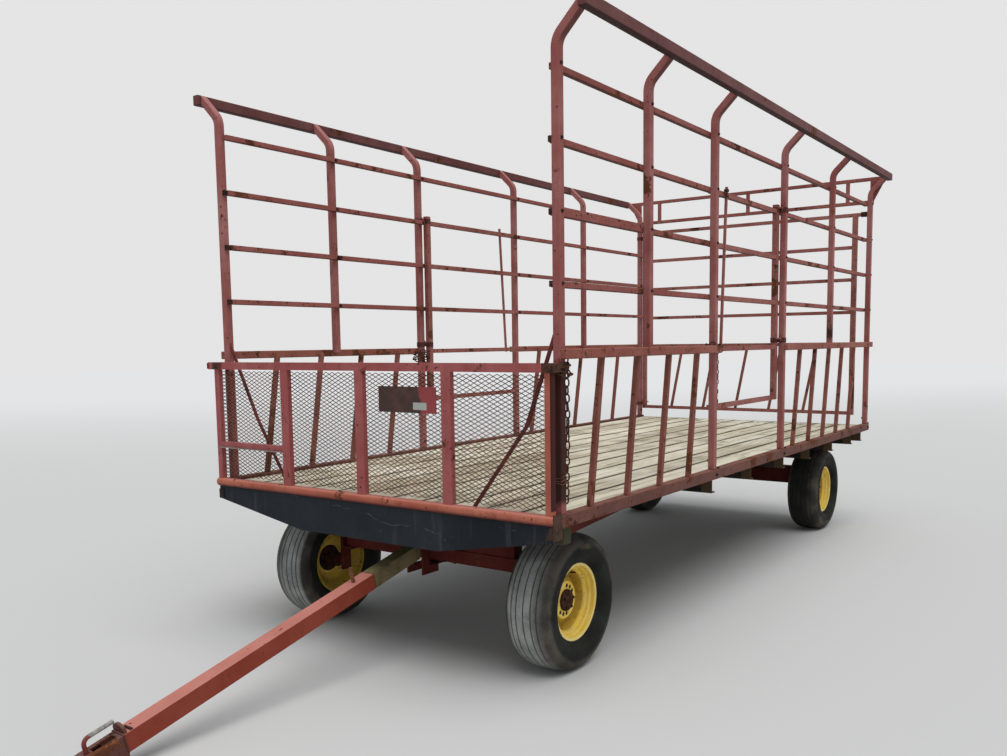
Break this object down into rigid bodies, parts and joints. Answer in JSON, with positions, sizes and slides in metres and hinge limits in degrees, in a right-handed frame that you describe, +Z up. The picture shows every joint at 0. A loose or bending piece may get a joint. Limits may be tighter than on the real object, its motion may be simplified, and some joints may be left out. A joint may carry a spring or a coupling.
{
  "type": "hay wagon",
  "caption": "Farm hay wagon with a plank deck, a tall steel rack with side and rear gates, a steered running gear on ribbed tyres and a tongue resting on the ground.",
  "frame": {"origin": "middle of the bounding box on the ground", "axes": "+X forward to the tongue, +Y to the wagon's left, +Z up"},
  "size_m": [7.3708, 2.808, 3.312],
  "materials": {
    "red_paint": "faded, rust spots",
    "dark_red_paint": "dull",
    "orange_red_paint": "faded",
    "olive_paint": "worn",
    "yellow_paint": "worn",
    "black_steel": "scratched",
    "rusty_steel": "rusty",
    "rusty_mesh": "rusty",
    "brown_sign": "faded",
    "grey_planks": "weathered",
    "mossy_timber": "mossy",
    "tyre_rubber": "worn"
  },
  "bodies": {
    "chassis": {"deck_planks": "grey_planks", "cross_sills": "black_steel", "front_wood_sill": "mossy_timber", "main_sills": "dark_red_paint", "front_plate": "black_steel", "deck_edge_rails": "red_paint", "rack_posts": "red_paint", "top_rails": "red_paint", "upper_rails": "red_paint", "mid_rails": "red_paint", "side_slats": "red_paint", "rear_header": "red_paint", "front_panel_frame": "red_paint", "front_panel_mesh": "rusty_mesh", "sign_plate": "brown_sign", "front_braces": "red_paint", "front_axle": "dark_red_paint", "rear_axle": "dark_red_paint", "bolsters": "dark_red_paint", "reach_pole": "dark_red_paint", "gate_hinges": "rusty_steel"},
    "steering": {"steering_bracket": "dark_red_paint"},
    "tongue": {"tongue_inner": "olive_paint", "tongue_tube": "orange_red_paint", "tongue_pin": "rusty_steel", "hitch_clevis": "rusty_steel", "hitch_pin": "rusty_steel"},
    "knuckle_left": {"knuckle_left": "dark_red_paint"},
    "tie_rod_left": {"tie_rod_left": "rusty_steel"},
    "side_gate_left": {"side_gate_left": "red_paint"},
    "knuckle_right": {"knuckle_right": "dark_red_paint"},
    "tie_rod_right": {"tie_rod_right": "rusty_steel"},
    "side_gate_right": {"side_gate_right": "red_paint"},
    "wheel_front_left": {"tyre_front_left": "tyre_rubber", "rim_front_left": "yellow_paint", "hub_front_left": "rusty_steel"},
    "wheel_front_right": {"tyre_front_right": "tyre_rubber", "rim_front_right": "yellow_paint", "hub_front_right": "rusty_steel"},
    "wheel_rear_left": {"tyre_rear_left": "tyre_rubber", "rim_rear_left": "yellow_paint", "hub_rear_left": "rusty_steel"},
    "wheel_rear_right": {"tyre_rear_right": "tyre_rubber", "rim_rear_right": "yellow_paint", "hub_rear_right": "rusty_steel"},
    "rear_gate": {"rear_gate": "red_paint", "rear_gate_slats": "red_paint"}
  },
  "joints": [
    {"name": "tongue_steer", "type": "hinge", "parent": "chassis", "child": "steering", "pos_m": [1.39713, 0, 0.531], "axis": [0, 0, 1], "range_deg": [-30, 30]},
    {"name": "tongue_lift", "type": "hinge", "parent": "steering", "child": "tongue", "pos_m": [1.54713, 0, 0.578], "axis": [0, -1, 0], "range_deg": [0, 13]},
    {"name": "knuckle_left_steer", "type": "hinge", "parent": "chassis", "child": "knuckle_left", "pos_m": [1.39713, 0.705, 0.531], "axis": [0, 0, 1], "range_deg": [-30, 30]},
    {"name": "tie_rod_left_eye", "type": "hinge", "parent": "steering", "child": "tie_rod_left", "pos_m": [1.25713, 0.04, 0.452], "axis": [0, 0, 1], "range_deg": [-30, 30]},
    {"name": "knuckle_right_steer", "type": "hinge", "parent": "chassis", "child": "knuckle_right", "pos_m": [1.39713, -0.705, 0.531], "axis": [0, 0, 1], "range_deg": [-30, 30]},
    {"name": "tie_rod_right_eye", "type": "hinge", "parent": "steering", "child": "tie_rod_right", "pos_m": [1.25713, -0.04, 0.452], "axis": [0, 0, 1], "range_deg": [-30, 30]},
    {"name": "wheel_front_left_turn", "type": "hinge", "parent": "knuckle_left", "child": "wheel_front_left", "pos_m": [1.39713, 0.905, 0.375], "axis": [0, 1, 0], "continuous": true},
    {"name": "wheel_front_right_turn", "type": "hinge", "parent": "knuckle_right", "child": "wheel_front_right", "pos_m": [1.39713, -0.905, 0.375], "axis": [0, 1, 0], "continuous": true},
    {"name": "wheel_rear_left_turn", "type": "hinge", "parent": "chassis", "child": "wheel_rear_left", "pos_m": [-3.04887, 0.905, 0.375], "axis": [0, 1, 0], "continuous": true},
    {"name": "wheel_rear_right_turn", "type": "hinge", "parent": "chassis", "child": "wheel_rear_right", "pos_m": [-3.04887, -0.905, 0.375], "axis": [0, 1, 0], "continuous": true},
    {"name": "side_gate_left_swing", "type": "hinge", "parent": "chassis", "child": "side_gate_left", "pos_m": [-1.1549, 1.215, 2.2], "axis": [0, 0, 1], "range_deg": [0, 110]},
    {"name": "side_gate_right_swing", "type": "hinge", "parent": "chassis", "child": "side_gate_right", "pos_m": [0.04537, -1.215, 2.2], "axis": [0, 0, 1], "range_deg": [0, 110]},
    {"name": "rear_gate_swing", "type": "hinge", "parent": "chassis", "child": "rear_gate", "pos_m": [-3.66537, -1.22, 2], "axis": [0, 0, 1], "range_deg": [0, 170]}
  ],
  "couplings": [
    {"joint": "knuckle_left_steer", "follows": "tongue_steer", "ratio": 1},
    {"joint": "tie_rod_left_eye", "follows": "tongue_steer", "ratio": -1},
    {"joint": "knuckle_right_steer", "follows": "tongue_steer", "ratio": 1},
    {"joint": "tie_rod_right_eye", "follows": "tongue_steer", "ratio": -1}
  ]
}
